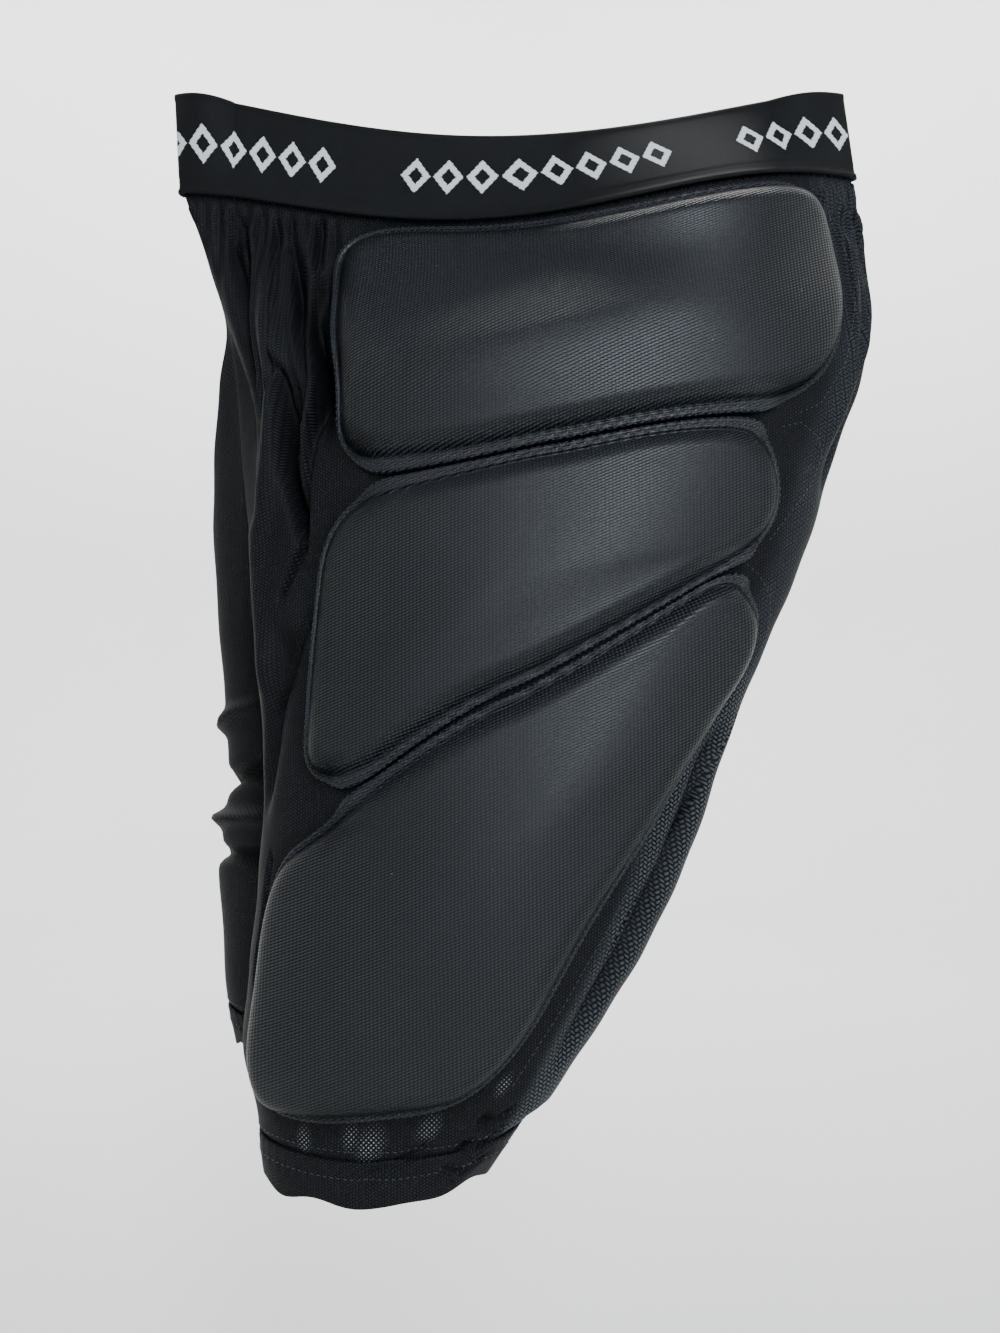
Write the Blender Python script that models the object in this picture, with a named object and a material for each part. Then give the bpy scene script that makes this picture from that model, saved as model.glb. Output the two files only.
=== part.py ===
import math

import bmesh
import bpy
import numpy as np

# Padded hip shorts, hung by the waistband, in metres. +X points to the wearer's back, -Y to the
# wearer's left and +Z up. The origin is on the line that the shorts hang from, midway between
# the two places where the waistband is gripped.

# Waistband
WAIST_WIDTH = 0.329
WAIST_EASE = 0.005
WAIST_FRONT = 0.160
GRIP_SPACING = 0.265
BAND_HEIGHT = 0.047
BAND_THICKNESS = 0.002
BAND_TUCK = 0.008

# The band's top edge dips between the grips and stands up past them. Its two layers bow apart.
LEFT_TOP_DIP = 0.022
RIGHT_TOP_DIP = 0.010
TOP_BULGE = 0.011
GRIP_PINCH = 0.0012
END_RISE = 0.005
END_BULGE = 0.005

# The band's lower edge is wider by the ease, rises at its ends, dips towards the middle and
# bows out, most of all at the back. The powers shape its dip, lobe and bulge.
LOWER_FRONT_RISE = 0.0025
LOWER_BACK_RISE = 0.010
LOWER_DIP = 0.025
LOWER_LOBE = 0.009
LOWER_BULGE = 0.028
DIP_POWER = 1.3
LOBE_POWER = 0.7
BULGE_POWER = 1.2
SKEW_POWER = 2.3

# Body and legs. LEG_LENGTH runs from the band to the left hem's front. The left hem hangs a
# little lower at its back, and the right leg is drawn up.
BODY_WIDTH = 0.334
BODY_DEPTH = 0.072
LEG_LENGTH = 0.4676
LEFT_BACK_DROP = 0.0011
RIGHT_FRONT_LIFT = 0.0369
RIGHT_BACK_LIFT = 0.0176
FABRIC_THICKNESS = 0.0015
LEG_GAP = 0.010
HEM_HEIGHT = 0.020
HEM_THICKNESS = 0.0024
HEM_DIP = 0.007
FOLD_HEIGHT = 0.006

# Pads. Their edge radius, corners and mesh steps are shares of the cloth round half the body.
PAD_THICKNESS = 0.014
PAD_EDGE_SHARE = 0.0225
PAD_CORNER_SHARE = 0.0965
PAD_STEP_SHARE = 0.077
LONGEST_CORNER_SHARE = 0.48

# Gaps between pieces that touch. A pad's flat facets span a curved body, so its base stands
# further off the body towards its middle.
BAND_GAP = 0.0006
HEM_GAP = 0.0007
PAD_SEAT_EDGES = {"hip_pad": 0.0013, "side_pad": 0.0006, "thigh_pad": 0.0009}
PAD_SEAT_MIDDLE = 0.0032

# Shares of the body's length below the band, how far across a half the shared seams pull it,
# and how square a leg is.
CROTCH_SHARE = 0.50
WAIST_SHARE = 0.25
SEAM_SHARE = 0.15
HEM_SHARE = 0.20
SEAM_PULL_SHARE = 1.25
TUBE_POWER = 0.88
FOLD_START_SHARE = 0.15
FOLD_END_SHARE = 0.25

# Mesh divisions. SIDE_STEPS holds, for each stretch across a side, its end and its steps.
SEAM_STEPS = 3
SIDE_STEPS = ((0.32, 11), (0.82, 9), (1.0, 6))
UPPER_ROWS = 11
LOWER_ROWS = 11
ARC_STEPS = 3

LEFT, RIGHT = -1, 1

# Sections from the band's lower edge (down 0) to the hem (down 1). The front and back columns
# are shares of BODY_WIDTH from the origin and depth is a share of BODY_DEPTH. The groove
# between the two halves takes the valley share of the depth: at 0.5 the legs part.
SECTION_COLUMNS = (
    "down", "left_front", "left_back", "right_front", "right_back", "depth", "valley"
)
SECTIONS = (
    (0.00, -0.472, 0.525, -0.472, 0.525, 0.64, 0.00),
    (0.08, -0.431, 0.546, -0.436, 0.540, 0.72, 0.03),
    (0.15, -0.400, 0.553, -0.413, 0.541, 0.78, 0.08),
    (0.22, -0.362, 0.531, -0.430, 0.513, 0.81, 0.15),
    (0.30, -0.350, 0.488, -0.443, 0.464, 0.83, 0.24),
    (0.40, -0.345, 0.440, -0.450, 0.404, 0.86, 0.36),
    (0.50, -0.338, 0.376, -0.449, 0.335, 0.91, 0.50),
    (0.60, -0.331, 0.316, -0.435, 0.266, 0.95, 0.50),
    (0.70, -0.336, 0.266, -0.431, 0.208, 0.98, 0.50),
    (0.80, -0.348, 0.199, -0.447, 0.138, 1.00, 0.50),
    (0.88, -0.355, 0.129, -0.439, 0.072, 1.00, 0.50),
    (0.94, -0.336, 0.071, -0.436, 0.018, 0.98, 0.50),
    (1.00, -0.326, 0.006, -0.419, -0.036, 0.95, 0.50),
)

# Folds on each half, from one place to another: ridges have a height above 0 and grooves below
# 0. across runs from the front edge (0) to the back edge (1) and down is as in SECTIONS.
# width is a share of BODY_DEPTH and height a share of FOLD_HEIGHT.
FOLD_COLUMNS = ("across_0", "down_0", "across_1", "down_1", "width", "height")
FOLDS = (
    (0.185, 0.03, 0.030, 0.30, 0.12, -0.9),
    (0.235, 0.03, 0.080, 0.42, 0.13, 0.9),
    (0.262, 0.06, 0.165, 0.32, 0.11, -0.9),
    (0.060, 0.34, 0.110, 0.56, 0.16, 0.6),
    (0.190, 0.46, 0.050, 0.66, 0.14, -0.7),
    (0.860, 0.05, 0.870, 0.32, 0.11, 0.6),
    (0.925, 0.05, 0.930, 0.36, 0.11, -0.8),
    (0.870, 0.56, 0.790, 0.92, 0.14, -0.8),
)

# Corners of each pad's outline on the body. round is how much of the pad's corner it takes.
CORNER_COLUMNS = ("across", "down", "round")
PADS = {
    "hip_pad": (
        (0.335, 0.012, 1.1),
        (0.806, 0.012, 0.7),
        (0.806, 0.245, 1.2),
        (0.570, 0.270, 0.8),
        (0.430, 0.304, 0.6),
        (0.276, 0.311, 0.9),
        (0.280, 0.200, 0.5),
    ),
    "side_pad": (
        (0.264, 0.356, 1.0),
        (0.420, 0.328, 0.6),
        (0.600, 0.288, 0.6),
        (0.725, 0.285, 0.8),
        (0.792, 0.376, 0.6),
        (0.330, 0.612, 0.5),
        (0.232, 0.606, 0.45),
    ),
    "thigh_pad": (
        (0.728, 0.426, 0.5),
        (0.865, 0.492, 0.7),
        (0.775, 0.615, 0.8),
        (0.675, 0.760, 0.8),
        (0.655, 0.905, 1.3),
        (0.310, 0.922, 1.0),
        (0.165, 0.916, 0.8),
        (0.160, 0.705, 1.0),
        (0.290, 0.664, 0.5),
    ),
}

COLOURS = {
    "knit": (0.012, 0.013, 0.015),
    "pad_cover": (0.022, 0.024, 0.028),
    "elastic": (0.010, 0.010, 0.011),
}


def named_rows(columns, rows):
    return [dict(zip(columns, row)) for row in rows]


def column_of(name):
    return np.array(SECTIONS)[:, SECTION_COLUMNS.index(name)]


def smooth_step(t):
    t = np.clip(t, 0.0, 1.0)
    return t * t * (3.0 - 2.0 * t)


def signed_power(value, power):
    return np.sign(value) * np.abs(value) ** power


def bump(share, power):
    """0 at both ends of a share and 1 in the middle."""
    return np.abs(np.sin(math.pi * share)) ** power


def read(column, down):
    """A column of SECTIONS at any place down the body, on a smooth curve through its rows."""
    places = column_of("down")
    values = column_of(column)
    slopes = np.gradient(values, places)
    row = np.clip(np.searchsorted(places, down, side="right") - 1, 0, len(places) - 2)
    span = places[row + 1] - places[row]
    t = (down - places[row]) / span
    from_above = values[row] * (1 + 2 * t) + slopes[row] * span * t
    from_below = values[row + 1] * (3 - 2 * t) - slopes[row + 1] * span * (1 - t)
    return from_above * (1 - t) ** 2 + from_below * t**2


def lengths(side):
    """The front and back lengths of one half, below the band."""
    if side == LEFT:
        return LEG_LENGTH, LEG_LENGTH + LEFT_BACK_DROP
    return LEG_LENGTH - RIGHT_FRONT_LIFT, LEG_LENGTH - RIGHT_BACK_LIFT


def girth():
    """The cloth round the outer side of one half."""
    return BODY_WIDTH / 2 + 2 * BODY_DEPTH


def half_surface(side, across, down):
    """Points of one half. across is 0 to 1 over its outer side, from the front edge to the back
    edge, and reaches -1 and 2 where its walls turn in to the seams."""
    name = "left" if side == LEFT else "right"
    below_waist = smooth_step(down / WAIST_SHARE)
    width = WAIST_WIDTH + WAIST_EASE + (BODY_WIDTH - WAIST_WIDTH - WAIST_EASE) * below_waist
    front = read(name + "_front", down) * width
    back = read(name + "_back", down) * width
    depth = read("depth", down) * BODY_DEPTH
    valley = np.clip(read("valley", down), 0.0, 0.5)
    inward = np.arcsin((valley / (1 - valley)) ** (1 / TUBE_POWER))
    inward_part = np.minimum(across, 0) + np.maximum(across - 1, 0)
    angle = math.pi * np.clip(across, 0, 1) + inward * inward_part
    run = signed_power(np.cos(angle), TUBE_POWER)
    swell = signed_power(np.sin(angle), TUBE_POWER)
    share = (1 - run) / 2
    parted = smooth_step((down - CROTCH_SHARE) / (1 - CROTCH_SHARE))
    tube = (valley + (1 - valley) * swell) * depth + parted * LEG_GAP / 2
    waist = LOWER_LOBE * bump(share, LOBE_POWER)
    waist = waist + LOWER_BULGE * bump(share**SKEW_POWER, BULGE_POWER)
    front_length, back_length = lengths(side)
    front_drop = BAND_HEIGHT - LOWER_FRONT_RISE + down * front_length
    back_drop = BAND_HEIGHT - LOWER_BACK_RISE + down * back_length
    dip = LOWER_DIP * bump(share, DIP_POWER) * (1 - below_waist)
    dip = dip + HEM_DIP * bump(share, 1) * smooth_step((down - 1 + HEM_SHARE) / HEM_SHARE)
    x = (front + back) / 2 - run * (back - front) / 2
    y = side * (waist + (tube - waist) * below_waist)
    z = -(front_drop * (1 - share) + back_drop * share + dip)
    return np.stack(np.broadcast_arrays(x, y, z), axis=-1)


def body_surface(side, across, down):
    """Points of one half, drawn to the seams that it shares with the other half."""
    across, down = np.broadcast_arrays(np.asarray(across, float), np.asarray(down, float))
    points = half_surface(side, across, down)
    joined = 1 - smooth_step((down - CROTCH_SHARE) / SEAM_SHARE)
    for end, reach in ((-1.0, across + 1.0), (2.0, 2.0 - across)):
        own = half_surface(side, np.full_like(down, end), down)
        other = half_surface(-side, np.full_like(down, end), down)
        pull = joined * (1 - smooth_step(reach / SEAM_PULL_SHARE))
        points = points + pull[..., None] * (other - own) / 2
    return points


def body_normals(side, across, down):
    """Outward directions of the smooth body, from points a small step apart."""
    step = 0.004
    along = body_surface(side, np.minimum(across + step, 2.0), down)
    along = along - body_surface(side, np.maximum(across - step, -1.0), down)
    downward = body_surface(side, across, np.minimum(down + step, 1.0))
    downward = downward - body_surface(side, across, np.maximum(down - step, 0.0))
    normals = np.cross(along, downward) * side
    return normals / np.maximum(np.linalg.norm(normals, axis=-1, keepdims=True), 1e-9)


def to_flat(side, across, down):
    """Places on one half as distances over the cloth, in metres."""
    long = sum(lengths(side)) / 2
    return np.stack(np.broadcast_arrays(across * girth(), down * long), axis=-1)


def from_flat(side, places):
    return places[..., 0] / girth(), places[..., 1] / (sum(lengths(side)) / 2)


def fold_heights(side, across, down):
    """How far the folds lift the cloth off the smooth body."""
    places = to_flat(side, across, down)
    total = 0.0
    for fold in named_rows(FOLD_COLUMNS, FOLDS):
        start = to_flat(side, fold["across_0"], fold["down_0"])
        run = to_flat(side, fold["across_1"], fold["down_1"]) - start
        t = np.clip((places - start) @ run / (run @ run), 0, 1)
        distance = np.linalg.norm(places - start - t[..., None] * run, axis=-1)
        fade = smooth_step(t / FOLD_START_SHARE) * smooth_step((1 - t) / FOLD_END_SHARE)
        profile = np.exp(-((distance / (fold["width"] * BODY_DEPTH)) ** 2))
        total = total + fold["height"] * FOLD_HEIGHT * profile * fade
    return total


def cloth_surface(side, across, down, lift=0.0):
    """The outer face of the body with its folds, lifted off it by a distance."""
    raised = fold_heights(side, across, down) + lift
    return body_surface(side, across, down) + raised[..., None] * body_normals(side, across, down)


def band_top(side, across):
    """The band's top edge: pinched at the grips, dipping between them and open past them."""
    share = (1 - np.cos(math.pi * across)) / 2
    x = share * WAIST_WIDTH - WAIST_FRONT
    grip = GRIP_SPACING / 2
    dip = LEFT_TOP_DIP if side == LEFT else RIGHT_TOP_DIP
    between = np.where(np.abs(x) < grip, np.sin(math.pi * (x + grip) / GRIP_SPACING), 0.0)
    end = np.where(x < 0, WAIST_FRONT, WAIST_WIDTH - WAIST_FRONT)
    past = np.clip((np.abs(x) - grip) / (end - grip), 0, 1)
    width = GRIP_PINCH * np.sqrt(1 - past**2) + TOP_BULGE * between
    width = width + END_BULGE * np.sin(math.pi * past)
    return np.stack([x, side * width, END_RISE * past - dip * between], axis=-1)


def waist_surface(side, across, up):
    """The face that the band lies on, from its lower edge (up 0) to its top edge (up 1)."""
    lower = body_surface(side, across, 0.0)
    return lower + up * (band_top(side, across) - lower)


def new_material(name, colour):
    material = bpy.data.materials.new(name)
    material.use_nodes = True
    shader = material.node_tree.nodes["Principled BSDF"]
    shader.inputs["Base Color"].default_value = (*colour, 1.0)
    shader.inputs["Roughness"].default_value = 0.85
    shader.inputs["Metallic"].default_value = 0.0
    return material


def new_object(name, bm, material):
    """A smooth-shaded object from a bmesh, with its sharp edges kept."""
    bmesh.ops.recalc_face_normals(bm, faces=bm.faces)
    mesh = bpy.data.meshes.new(name)
    bm.to_mesh(mesh)
    bm.free()
    mesh.shade_smooth()
    mesh.set_sharp_from_angle(angle=math.radians(50))
    mesh.materials.append(material)
    obj = bpy.data.objects.new(name, mesh)
    bpy.context.scene.collection.objects.link(obj)
    return obj


def add_rows(bm, rows, closed=False):
    """Quads between rows of points. A closed row's last point joins its first."""
    made = [[bm.verts.new(point) for point in row] for row in rows]
    for upper, lower in zip(made, made[1:]):
        count = len(upper)
        for i in range(count if closed else count - 1):
            j = (i + 1) % count
            bm.faces.new((upper[i], upper[j], lower[j], lower[i]))
    return made


def add_wall(obj, thickness):
    """A wall that grows inwards from the outer face."""
    wall = obj.modifiers.new("wall", "SOLIDIFY")
    wall.thickness = thickness
    wall.offset = -1.0


def side_places():
    """Places over the outer side of one half, closer together at the folds."""
    places = np.zeros(1)
    for end, steps in SIDE_STEPS:
        places = np.concatenate([places, np.linspace(places[-1], end, steps + 1)[1:]])
    return places


def places_across():
    """Places round one half, from the front seam over the outer side to the back seam."""
    front = np.linspace(-1, 0, SEAM_STEPS, endpoint=False)
    back = np.linspace(2, 1, SEAM_STEPS, endpoint=False)[::-1]
    return np.concatenate([front, side_places(), back])


def hem_line():
    """How far down the body the hem bands start."""
    return 1 - HEM_HEIGHT / LEG_LENGTH


def build_body(material):
    """One shell, open at the waist, that parts into two legs."""
    upper = np.linspace(0, CROTCH_SHARE, UPPER_ROWS + 1)
    lower = np.linspace(CROTCH_SHARE, hem_line(), LOWER_ROWS + 1)[1:]
    across = places_across()
    bm = bmesh.new()
    for side in (LEFT, RIGHT):
        tucked = waist_surface(side, np.clip(across, 0, 1), BAND_TUCK / BAND_HEIGHT)
        rows = [tucked]
        for down in np.concatenate([upper, lower]):
            rows.append(cloth_surface(side, across, np.full_like(across, down)))
        add_rows(bm, rows)
    bmesh.ops.remove_doubles(bm, verts=bm.verts, dist=0.00005)
    bmesh.ops.dissolve_degenerate(bm, edges=bm.edges, dist=0.00001)
    add_wall(new_object("shorts_body", bm, material), FABRIC_THICKNESS)


def build_hem(name, side, material):
    """The stitched band at the end of one leg, just below the body's cloth."""
    across = places_across()[:-1]
    top = hem_line() + HEM_GAP / LEG_LENGTH
    rows = [cloth_surface(side, across, np.full_like(across, down)) for down in (top, 1.0)]
    bm = bmesh.new()
    add_rows(bm, rows, closed=True)
    add_wall(new_object(name, bm, material), HEM_THICKNESS)


def build_band(material):
    """The elastic waistband, a loop that lies over the top of the body."""
    across = side_places()
    tuck = BAND_TUCK / BAND_HEIGHT
    ups = np.array([0, tuck, (1 + tuck) / 2, 1])
    loops = []
    for up in ups:
        left = waist_surface(LEFT, across, up)
        right = waist_surface(RIGHT, across, up)[::-1]
        loops.append(np.concatenate([left, right[1:-1]]))
    loops = np.array(loops)
    along = np.roll(loops, -1, axis=1) - np.roll(loops, 1, axis=1)
    rising = np.gradient(loops, axis=0)
    normals = np.cross(along, rising)
    normals = normals / np.linalg.norm(normals, axis=-1, keepdims=True)
    bm = bmesh.new()
    add_rows(bm, loops + normals * (BAND_GAP + BAND_THICKNESS), closed=True)
    add_wall(new_object("waistband", bm, material), BAND_THICKNESS)


def towards(corner, neighbour, rounding):
    """Where a corner's curve leaves the straight edge to its neighbour."""
    edge = neighbour - corner
    share = rounding * PAD_CORNER_SHARE * girth() / np.linalg.norm(edge)
    return corner + edge * min(share, LONGEST_CORNER_SHARE)


def between(start, end):
    """Points along a straight edge, without its ends."""
    steps = max(round(np.linalg.norm(end - start) / (PAD_STEP_SHARE * girth())), 1)
    return [start + (end - start) * k / steps for k in range(1, steps)]


def rounded_outline(side, corners):
    """A pad's closed outline over the flat cloth: straight edges and curved corners."""
    rows = named_rows(CORNER_COLUMNS, corners)
    places = [to_flat(side, row["across"], row["down"]) for row in rows]
    outline = []
    for i, row in enumerate(rows):
        here = places[i]
        start = towards(here, places[i - 1], row["round"])
        end = towards(here, places[(i + 1) % len(rows)], row["round"])
        if outline:
            outline += between(outline[-1], start)
        for t in np.linspace(0, 1, ARC_STEPS + 1):
            outline.append(start * (1 - t) ** 2 + 2 * here * t * (1 - t) + end * t**2)
    outline += between(outline[-1], outline[0])
    return np.array(outline)


def inset_outline(outline, distance):
    """The outline moved inwards by a distance."""
    along = np.roll(outline, -1, axis=0) - np.roll(outline, 1, axis=0)
    along = along / np.linalg.norm(along, axis=1, keepdims=True)
    inward = np.stack([-along[:, 1], along[:, 0]], axis=1)
    return outline + inward * distance


def build_pad(pad, side, name, material):
    """A foam pad that follows the body, with a rounded edge and a flat top."""
    outline = rounded_outline(side, PADS[pad])
    middle = outline.mean(axis=0)
    radius = PAD_EDGE_SHARE * girth()
    inner = inset_outline(outline, radius)
    rings = []
    for share in (0.70, 0.40, 0.15, 0.0):
        lift = PAD_SEAT_EDGES[pad] if share == 0 else PAD_SEAT_MIDDLE
        rings.append((outline + (middle - outline) * share, lift))
    for angle in np.linspace(0, math.pi / 2, 4):
        inset = radius * (1 - math.cos(angle))
        height = PAD_THICKNESS - radius * (1 - math.sin(angle))
        rings.append((inset_outline(outline, inset), height))
    rings += [(inner + (middle - inner) * share, PAD_THICKNESS) for share in (0.40, 0.75)]
    bm = bmesh.new()
    rows = []
    for places, lift in rings:
        across, down = from_flat(side, places)
        rows.append(body_surface(side, across, down) + lift * body_normals(side, across, down))
    made = add_rows(bm, rows, closed=True)
    bmesh.ops.contextual_create(bm, geom=made[0])
    bmesh.ops.contextual_create(bm, geom=made[-1])
    new_object(name, bm, material)


def main():
    for obj in list(bpy.data.objects):
        bpy.data.objects.remove(obj)
    knit = new_material("knit", COLOURS["knit"])
    cover = new_material("pad_cover", COLOURS["pad_cover"])
    elastic = new_material("elastic", COLOURS["elastic"])
    build_band(elastic)
    build_body(knit)
    for side, word in ((LEFT, "left"), (RIGHT, "right")):
        build_hem("hem_" + word, side, knit)
        for pad in PADS:
            build_pad(pad, side, pad + "_" + word, cover)


main()
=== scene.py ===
import math

import bmesh
import bpy
import numpy as np
from mathutils import Matrix, Vector


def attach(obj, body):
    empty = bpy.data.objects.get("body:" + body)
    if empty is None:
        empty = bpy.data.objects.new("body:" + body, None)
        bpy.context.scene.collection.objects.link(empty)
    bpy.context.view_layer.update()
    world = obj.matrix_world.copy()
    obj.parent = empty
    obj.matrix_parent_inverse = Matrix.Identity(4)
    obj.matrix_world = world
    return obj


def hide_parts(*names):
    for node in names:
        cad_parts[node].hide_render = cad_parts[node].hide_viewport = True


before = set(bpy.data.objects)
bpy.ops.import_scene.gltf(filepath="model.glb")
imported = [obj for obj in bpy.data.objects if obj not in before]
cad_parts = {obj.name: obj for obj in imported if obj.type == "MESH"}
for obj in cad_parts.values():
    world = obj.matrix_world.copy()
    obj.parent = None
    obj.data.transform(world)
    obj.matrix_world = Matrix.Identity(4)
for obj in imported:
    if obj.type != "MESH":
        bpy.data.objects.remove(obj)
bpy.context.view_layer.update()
left, right = -1, 1
sideNames = {left: "left", right: "right"}
print("frame loaded,", len(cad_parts), "solids")

# Camera, level with the middle of the shorts
cameraSetup = {"place": (0.0, -0.58, -0.28), "focalPixels": 1160, "imageHeight": 1333}
camera = bpy.data.objects.new("camera", bpy.data.cameras.new("camera"))
camera.location = cameraSetup["place"]
camera.rotation_euler = (math.pi / 2, 0, 0)
camera.data.sensor_width = 36
camera.data.lens = 36 * cameraSetup["focalPixels"] / cameraSetup["imageHeight"]
bpy.context.scene.collection.objects.link(camera)
bpy.context.scene.camera = camera

# The hanging cloth, the same shape as the solids under it. across runs over one half, from the
# front edge (0) to the back edge (1), and reaches -1 and 2 at the seams. down runs from the
# band (0) to the hem (1).
shape = {
    "waistWidth": 0.329, "waistEase": 0.005, "waistFront": 0.160, "gripSpacing": 0.265,
    "bandHeight": 0.047, "bandThickness": 0.002, "bandGap": 0.0006, "bandTuck": 0.008,
    "topDip": {left: 0.022, right: 0.010}, "topBulge": 0.011, "gripPinch": 0.0012,
    "endRise": 0.005, "endBulge": 0.005,
    "lowerFrontRise": 0.0025, "lowerBackRise": 0.010, "lowerDip": 0.025,
    "lowerLobe": 0.009, "lowerBulge": 0.028,
    "dipPower": 1.3, "lobePower": 0.7, "bulgePower": 1.2, "skewPower": 2.3,
    "bodyWidth": 0.334, "bodyDepth": 0.072,
    "lengths": {left: (0.4676, 0.4687), right: (0.4307, 0.4500)},
    "legGap": 0.010, "hemHeight": 0.020, "hemGap": 0.0007, "hemDip": 0.007,
    "crotch": 0.50, "waist": 0.25, "seam": 0.15, "hem": 0.20, "pull": 1.25, "tubePower": 0.88,
}
sectionColumns = ("down", "leftFront", "leftBack", "rightFront", "rightBack", "depth", "valley")
sections = np.array((
    (0.00, -0.472, 0.525, -0.472, 0.525, 0.64, 0.00),
    (0.08, -0.431, 0.546, -0.436, 0.540, 0.72, 0.03),
    (0.15, -0.400, 0.553, -0.413, 0.541, 0.78, 0.08),
    (0.22, -0.362, 0.531, -0.430, 0.513, 0.81, 0.15),
    (0.30, -0.350, 0.488, -0.443, 0.464, 0.83, 0.24),
    (0.40, -0.345, 0.440, -0.450, 0.404, 0.86, 0.36),
    (0.50, -0.338, 0.376, -0.449, 0.335, 0.91, 0.50),
    (0.60, -0.331, 0.316, -0.435, 0.266, 0.95, 0.50),
    (0.70, -0.336, 0.266, -0.431, 0.208, 0.98, 0.50),
    (0.80, -0.348, 0.199, -0.447, 0.138, 1.00, 0.50),
    (0.88, -0.355, 0.129, -0.439, 0.072, 1.00, 0.50),
    (0.94, -0.336, 0.071, -0.436, 0.018, 0.98, 0.50),
    (1.00, -0.326, 0.006, -0.419, -0.036, 0.95, 0.50),
))


def smoothStep(t):
    t = np.clip(t, 0.0, 1.0)
    return t * t * (3.0 - 2.0 * t)


def signedPower(value, power):
    return np.sign(value) * np.abs(value) ** power


def bump(share, power):
    return np.abs(np.sin(math.pi * share)) ** power


def readSection(column, down):
    places = sections[:, 0]
    values = sections[:, sectionColumns.index(column)]
    slopes = np.gradient(values, places)
    row = np.clip(np.searchsorted(places, down, side="right") - 1, 0, len(places) - 2)
    span = places[row + 1] - places[row]
    t = (down - places[row]) / span
    fromAbove = values[row] * (1 + 2 * t) + slopes[row] * span * t
    fromBelow = values[row + 1] * (3 - 2 * t) - slopes[row + 1] * span * (1 - t)
    return fromAbove * (1 - t) ** 2 + fromBelow * t**2


def halfSurface(side, across, down):
    belowWaist = smoothStep(down / shape["waist"])
    top = shape["waistWidth"] + shape["waistEase"]
    width = top + (shape["bodyWidth"] - top) * belowWaist
    front = readSection(sideNames[side] + "Front", down) * width
    back = readSection(sideNames[side] + "Back", down) * width
    depth = readSection("depth", down) * shape["bodyDepth"]
    valley = np.clip(readSection("valley", down), 0.0, 0.5)
    inward = np.arcsin((valley / (1 - valley)) ** (1 / shape["tubePower"]))
    angle = math.pi * np.clip(across, 0, 1)
    angle = angle + inward * (np.minimum(across, 0) + np.maximum(across - 1, 0))
    run = signedPower(np.cos(angle), shape["tubePower"])
    swell = signedPower(np.sin(angle), shape["tubePower"])
    share = (1 - run) / 2
    parted = smoothStep((down - shape["crotch"]) / (1 - shape["crotch"]))
    tube = (valley + (1 - valley) * swell) * depth + parted * shape["legGap"] / 2
    waist = shape["lowerLobe"] * bump(share, shape["lobePower"])
    waist = waist + shape["lowerBulge"] * bump(share ** shape["skewPower"], shape["bulgePower"])
    frontLength, backLength = shape["lengths"][side]
    frontDrop = shape["bandHeight"] - shape["lowerFrontRise"] + down * frontLength
    backDrop = shape["bandHeight"] - shape["lowerBackRise"] + down * backLength
    dip = shape["lowerDip"] * bump(share, shape["dipPower"]) * (1 - belowWaist)
    nearHem = smoothStep((down - 1 + shape["hem"]) / shape["hem"])
    dip = dip + shape["hemDip"] * bump(share, 1) * nearHem
    x = (front + back) / 2 - run * (back - front) / 2
    y = side * (waist + (tube - waist) * belowWaist)
    z = -(frontDrop * (1 - share) + backDrop * share + dip)
    return np.stack(np.broadcast_arrays(x, y, z), axis=-1)


def smoothCloth(side, across, down):
    across, down = np.broadcast_arrays(np.asarray(across, float), np.asarray(down, float))
    points = halfSurface(side, across, down)
    joined = 1 - smoothStep((down - shape["crotch"]) / shape["seam"])
    for end, reach in ((-1.0, across + 1.0), (2.0, 2.0 - across)):
        own = halfSurface(side, np.full_like(down, end), down)
        other = halfSurface(-side, np.full_like(down, end), down)
        pull = joined * (1 - smoothStep(reach / shape["pull"]))
        points = points + pull[..., None] * (other - own) / 2
    return points


def clothNormals(side, across, down):
    step = 0.004
    along = smoothCloth(side, np.minimum(across + step, 2.0), down)
    along = along - smoothCloth(side, np.maximum(across - step, -1.0), down)
    downward = smoothCloth(side, across, np.minimum(down + step, 1.0))
    downward = downward - smoothCloth(side, across, np.maximum(down - step, 0.0))
    normals = np.cross(along, downward) * side
    return normals / np.maximum(np.linalg.norm(normals, axis=-1, keepdims=True), 1e-9)


def bandTop(side, across):
    x = (1 - np.cos(math.pi * across)) / 2 * shape["waistWidth"] - shape["waistFront"]
    grip = shape["gripSpacing"] / 2
    inside = np.sin(math.pi * (x + grip) / shape["gripSpacing"])
    between = np.where(np.abs(x) < grip, inside, 0.0)
    end = np.where(x < 0, shape["waistFront"], shape["waistWidth"] - shape["waistFront"])
    past = np.clip((np.abs(x) - grip) / (end - grip), 0, 1)
    width = shape["gripPinch"] * np.sqrt(1 - past**2) + shape["topBulge"] * between
    width = width + shape["endBulge"] * np.sin(math.pi * past)
    z = shape["endRise"] * past - shape["topDip"][side] * between
    return np.stack([x, side * width, z], axis=-1)


def waistFace(side, across, up):
    lower = smoothCloth(side, across, 0.0)
    return lower + np.asarray(up)[..., None] * (bandTop(side, across) - lower)


# Distances over the cloth, for patterns and for pad edges
girth = shape["bodyWidth"] / 2 + 2 * shape["bodyDepth"]


def flatPlaces(side, across, down):
    long = sum(shape["lengths"][side]) / 2
    return np.stack(np.broadcast_arrays(across * girth, down * long), axis=-1)


patternGrid = {"across": 240, "down": 80}


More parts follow.
